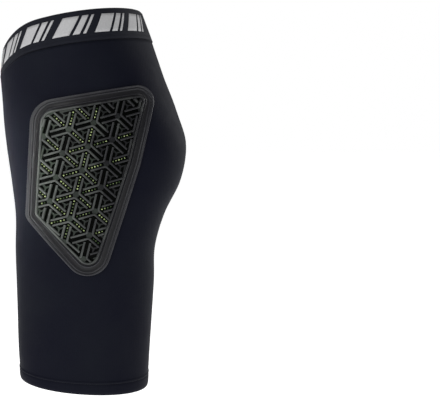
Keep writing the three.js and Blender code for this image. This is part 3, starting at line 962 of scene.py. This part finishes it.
FIELD_INSET = FLANGE_WIDTH + 0.0028  # the pattern ends here
RIB_INSET = FLANGE_WIDTH + 0.0034
DOT_INSET = FLANGE_WIDTH + 0.0045
EDGE_RIB_INSET = FLANGE_WIDTH + 0.0017
RIM_INSET = FLANGE_WIDTH + 0.0003  # the plate's own edge
BACKING_INSET = FLANGE_WIDTH + 0.0004
RIB_HALF_WIDTH = 0.00125
RIB_OFFSET = SLOT_HALF_WIDTH + RIB_HALF_WIDTH  # an arm's middle line to the middle of its rib
NOTCH_NEAR = SLOT_HALF_WIDTH + 2 * RIB_HALF_WIDTH
NOTCH_FAR = NOTCH_NEAR + 0.0034
NOTCH_REACH = 0.0172  # knot to the end of a notch's legs
CORNER = math.sin(math.radians(60))
ARM_LENGTH = KNOT_PITCH - NOTCH_FAR / CORNER
WEB_TOP = 0.0068
RIB_TOP = 0.0084


def field_outline(inset):
    return guard_outline(inset, corner_cells=10, cell=0.004)


def rib_profile(half, top):
    """Across and height round a bar with a rounded top."""
    arch_rise, fullness, arch_points = 0.001, 0.8, 9
    angle = np.linspace(math.pi, 0, arch_points)
    height = top - arch_rise + arch_rise * np.sin(angle) ** fullness
    arch = np.stack([half * np.cos(angle), height], axis=-1)
    return np.concatenate([[(-half, PLATE_FOOT)], arch, [(half, PLATE_FOOT)]])


def arrow_hole(knot, k):
    """The slot of one arm, which opens into the notch under the next knot, as a flat polygon."""
    along, mouth, tip_slant = SPOKES[k], SLOT_HALF_WIDTH, 0.003
    target = knot + along * KNOT_PITCH
    outline = [target - along * NOTCH_NEAR / CORNER]
    sides = []
    for side, other in ((1, (k + 2) % 3), (-1, (k + 1) % 3)):
        spoke, normal = SPOKES[other], LEFTS[other] * side
        edge = LEFTS[k] * side * mouth
        tip = target + spoke * NOTCH_REACH
        sides.append([
            tip + normal * NOTCH_NEAR,
            tip - spoke * tip_slant + normal * NOTCH_FAR,
            target + edge - along * (NOTCH_FAR + mouth / 2) / CORNER,
            knot + along * SLOT_START + edge,
        ])
    return np.array(outline + sides[0] + sides[1][::-1])


def field_holes(field):
    """The holes that reach into the pattern's outline, each with its knot and arm."""
    holes = []
    for knot in guard_knots():
        for k in range(3):
            hole = arrow_hole(knot, k)
            if inside_outline(hole, field).any():
                holes.append((hole, knot, k))
    return holes


def lifted(points, height):
    """Flat points back and up, placed at a height over the guard's crowned ground."""
    y, z = points.T
    lift = height + plate_lift(points)
    return side_points(y, z) + guard_normals(y, z) * lift[:, None]


def make_web(field, holes):
    """The plate under the ribs, cut through by its holes."""
    step, edge_gap, tolerance = 0.0045, 0.001, 1e-6
    rim = field_outline(RIM_INSET)[:-1]
    loops = [rim, field[:-1]] + [hole for hole, *_ in holes]
    low, high = rim.min(axis=0), rim.max(axis=0)
    back, up = (np.arange(low[i], high[i], step) for i in range(2))
    lattice = np.stack(np.meshgrid(back, up), axis=-1).reshape(-1, 2)
    lattice = lattice[inside_outline(lattice, field_outline(RIM_INSET + edge_gap))]
    points, edges = [], []
    for loop in loops:
        base = len(points)
        points += [Vector(p) for p in loop.tolist()]
        edges += [(base + i, base + (i + 1) % len(loop)) for i in range(len(loop))]
    points += [Vector(p) for p in lattice.tolist()]
    flat, _, triangles, *_ = delaunay_2d_cdt(points, edges, [], 0, tolerance)
    flat = np.array([tuple(p) for p in flat])
    triangles = np.array(triangles)
    centres = flat[triangles].mean(axis=1)
    keep = inside_outline(centres, np.concatenate([rim, rim[:1]]))
    in_field = inside_outline(centres, field)
    for hole, *_ in holes:
        near = in_field & (np.abs(centres - hole.mean(axis=0)).max(axis=1) < KNOT_PITCH)
        if near.any():
            cut = np.zeros(len(centres), bool)
            cut[near] = inside_outline(centres[near], np.concatenate([hole, hole[:1]]))
            keep &= ~cut
    triangles = triangles[keep]
    used, index = np.unique(triangles, return_inverse=True)
    triangles = index.reshape(-1, 3)
    flat = flat[used]
    a, b, c = (flat[triangles[:, i]] for i in range(3))
    sides = np.cross(b - a, c - a)
    triangles[sides < 0] = triangles[sides < 0][:, ::-1]
    faces = closed_faces([tuple(t) for t in triangles.tolist()], len(flat))
    return np.concatenate([lifted(flat, WEB_TOP), lifted(flat, PLATE_FOOT)]), faces


def make_plate():
    """The pierced web with its ribs, on both sides. It gives its holes."""
    bend, cells, least_cells, edge_half_width, edge_lower = 0.0015, 44, 5, 0.0012, 0.0003
    field = field_outline(FIELD_INSET)
    rib_field = field_outline(RIB_INSET)
    holes = field_holes(field)
    pieces = [make_web(field, holes)]
    for knot in guard_knots():
        for k in range(3):
            near, far = SPOKES[k], SPOKES[(k + 1) % 3]
            corner = knot + (near + far) * RIB_OFFSET / CORNER
            first = knot + near * ARM_LENGTH - LEFTS[k] * RIB_OFFSET
            second = knot + far * ARM_LENGTH + LEFTS[(k + 1) % 3] * RIB_OFFSET
            path = clipped(fillet_path((first, corner, second), bend, cells), rib_field)
            if len(path) > least_cells:
                pieces.append(swept_rib(path, rib_profile(RIB_HALF_WIDTH, RIB_TOP)))
    edge_profile = rib_profile(edge_half_width, RIB_TOP - edge_lower)
    pieces.append(swept_rib(guard_outline(EDGE_RIB_INSET), edge_profile))
    vertices, faces = joined(pieces)
    ribs = make_object("left_ribs", vertices, faces, smooth=False)
    other = mirrored(ribs, "right_ribs")
    # The ribs take a lighter rubber than the web between them: painted highlight on the ribs, painted
    # shade on the web.
    in_web = (np.arange(len(faces)) < len(pieces[0][1])).astype(np.int32)
    for piece, node in ((ribs, "left_guard_plate"), (other, "right_guard_plate")):
        piece.data.shade_smooth()
        piece.data.set_sharp_from_angle(angle=math.radians(40))
        dress(piece, RIB_HIGHLIGHT_RUBBER, "ribs", node)
        piece.data.materials.append(WEB_SHADE_RUBBER)
        piece.data.polygons.foreach_set("material_index", in_web)
    return holes


PLATE_HOLES = make_plate()


def make_backing():
    """The crowned layer under the slots, dark, and made near black as painted shade deep in the slots."""
    rings, bottom = 26, 0.0004
    outline = guard_outline(BACKING_INSET, corner_cells=8, cell=0.006)
    middle = outline[:-1].mean(axis=0)
    share = np.linspace(0, 1, rings)[:, None, None]
    flat = outline[None] * (1 - share) + middle * share
    grid = side_points(flat[..., 0].ravel(), flat[..., 1].ravel()).reshape(*flat.shape[:2], 3)
    backing = solid_on_sheet("left_backing", grid, BACKING_TOP + plate_lift(flat), bottom)
    other = mirrored(backing, "right_backing")
    dress(backing, BACKING, "green", "left_guard_backing")
    dress(other, BACKING, "green", "right_guard_backing")


def dots_outside_painted_shade(centre, k):
    """Whether an arm gets dots. Where it gets none, its slot stays near black as painted shade. Up, lower
    right and lower left arms differ over the guard.
    """
    back, z = centre
    column_back, column_height, column_lean, column_half = 0.0251, -0.108, 0.243, 0.013
    top_height, top_back, top_half = -0.125, 0.007, 0.02
    front_reach, low_height, left_lowest, left_highest = 0.022, -0.225, -0.265, -0.135
    if k == 0:
        column = column_back + (z - column_height) * column_lean
        in_top = z > top_height and abs(back - top_back) < top_half
        return in_top or abs(back - column) < column_half
    if k == 1:
        return back < front_reach or z < low_height
    return left_lowest < z < left_highest + 2 * min(0, back)


def make_dots():
    """Beads in rows along the slots."""
    field = field_outline(DOT_INSET)
    radius, rise, around = 0.001, 0.0016, 10
    reaches = np.array([0.0072, 0.0109, 0.0146, 0.0183, 0.022])[:, None]
    angle = np.linspace(0, 2 * math.pi, around, endpoint=False)
    ring = np.stack([np.cos(angle), np.sin(angle)], axis=-1)
    sunk, shoulder, brow = -0.0003, 0.45 * rise, 0.85 * rise
    levels = [(1.0, sunk), (0.96, shoulder), (0.62, brow)]  # share of the radius, and height
    centres = []
    for _, knot, k in PLATE_HOLES:
        # Slots without dots stay near black: painted shade.
        if dots_outside_painted_shade(knot + SPOKES[k] * KNOT_PITCH / 2, k):
            row = knot + SPOKES[k] * reaches
            centres.append(row[inside_outline(row, field)])
    last = around * (len(levels) - 1)
    top = last + around
    steps = [(i, (i + 1) % around) for i in range(around)]
    sides = [(a, b, b + around, a + around) for a, b in steps]
    faces = [tuple(start + v for v in side) for start in range(0, last, around) for side in sides]
    faces += [(last + a, last + b, top) for a, b in steps]
    faces.append(tuple(range(around))[::-1])
    pieces = []
    for centre in np.concatenate(centres):
        points = [lifted(centre + ring * radius * share, BACKING_TOP + height) for share, height in levels]
        points.append(lifted(centre[None], BACKING_TOP + rise))
        pieces.append((np.concatenate(points), faces))
    dots = make_object("left_dots", *joined(pieces))
    other = mirrored(dots, "right_dots")
    for piece in (dots, other):
        dress(piece, DOTS, "green")


make_backing()
make_dots()


# Floor, light and camera


def make_floor():
    size, level = 30, -0.8
    corners = np.array([(x * size, y * size, level) for x, y in ((-1, -1), (1, -1), (1, 1), (-1, 1))])
    floor = make_object("floor", corners, [(0, 1, 2, 3)], smooth=False)
    glow = {"Emission_Strength": 0.86, "Emission_Color": (1, 1, 1, 1)}
    floor.data.materials.append(Nodes("pale_floor", (0.8, 0.8, 0.8), 0.9, **glow).material)


Light = namedtuple("Light", "name place target size power spread")
LIGHTS = [
    Light("front_key", (0.75, -1.8, 0.5), (0, 0, -0.2), 0.7, 5, 180),
    Light("front_spot", (0.7, -1.8, 0.1), (0, -0.08, -0.215), 0.15, 0.38, 9),
    Light("side_key", (1.7, -0.9, 0.9), (0, 0, -0.2), 0.9, 11, 180),
    Light("back_fill", (-1.3, 2.1, 0.5), (0, 0, -0.22), 0.9, 14, 180),
    Light("far_side", (-2.0, -0.3, 0.6), (0, 0, -0.2), 1.0, 12, 180),
]


def make_lights():
    for name, place, target, size, power, spread in LIGHTS:
        light = bpy.data.lights.new(name, "AREA")
        light.shape = "DISK"
        light.size = size
        light.energy = power
        light.spread = math.radians(spread)
        lamp = add_object(name, light)
        lamp.location = place
        lamp.rotation_euler = (Vector(target) - Vector(place)).to_track_quat("-Z", "Y").to_euler()


def make_world():
    """White where the camera sees it, and dimmer as a light on the object."""
    as_light, to_camera = 0.2, 1.0
    world = bpy.data.worlds.new("studio")
    world.use_nodes = True
    tree = world.node_tree
    seen = tree.nodes.new("ShaderNodeLightPath")
    strength = tree.nodes.new("ShaderNodeMapRange")
    strength.inputs["To Min"].default_value = as_light
    strength.inputs["To Max"].default_value = to_camera
    tree.links.new(seen.outputs["Is Camera Ray"], strength.inputs["Value"])
    tree.links.new(strength.outputs["Result"], tree.nodes["Background"].inputs["Strength"])
    tree.nodes["Background"].inputs["Color"].default_value = (1, 1, 1, 1)
    bpy.context.scene.world = world
    bpy.context.scene.view_settings.view_transform = "Standard"


# The camera stands level with the hips, on the wearer's left.
FRAME_WIDTH, FRAME_HEIGHT = 440, 403
FOCAL = 740  # in the photograph's pixels
AXIS_X, LEVEL_Y = 76, 138  # where the photograph shows the waist's middle and the eye level
EYE_LEVEL = -0.14
DISTANCE = 1.122


def make_camera():
    camera = bpy.data.cameras.new("camera")
    camera.sensor_fit = "HORIZONTAL"
    camera.sensor_width = 36
    camera.lens = FOCAL / FRAME_WIDTH * camera.sensor_width
    eye = add_object("camera", camera)
    eye.location = (DISTANCE, 0, EYE_LEVEL)
    yaw = math.atan2(FRAME_WIDTH / 2 - AXIS_X, FOCAL)
    pitch = math.atan2(FRAME_HEIGHT / 2 - LEVEL_Y, FOCAL)
    aim = Vector((-math.cos(yaw), math.sin(yaw), -math.tan(pitch)))
    eye.rotation_euler = aim.to_track_quat("-Z", "Y").to_euler()
    bpy.context.scene.camera = eye


make_floor()
make_world()
make_camera()
make_lights()
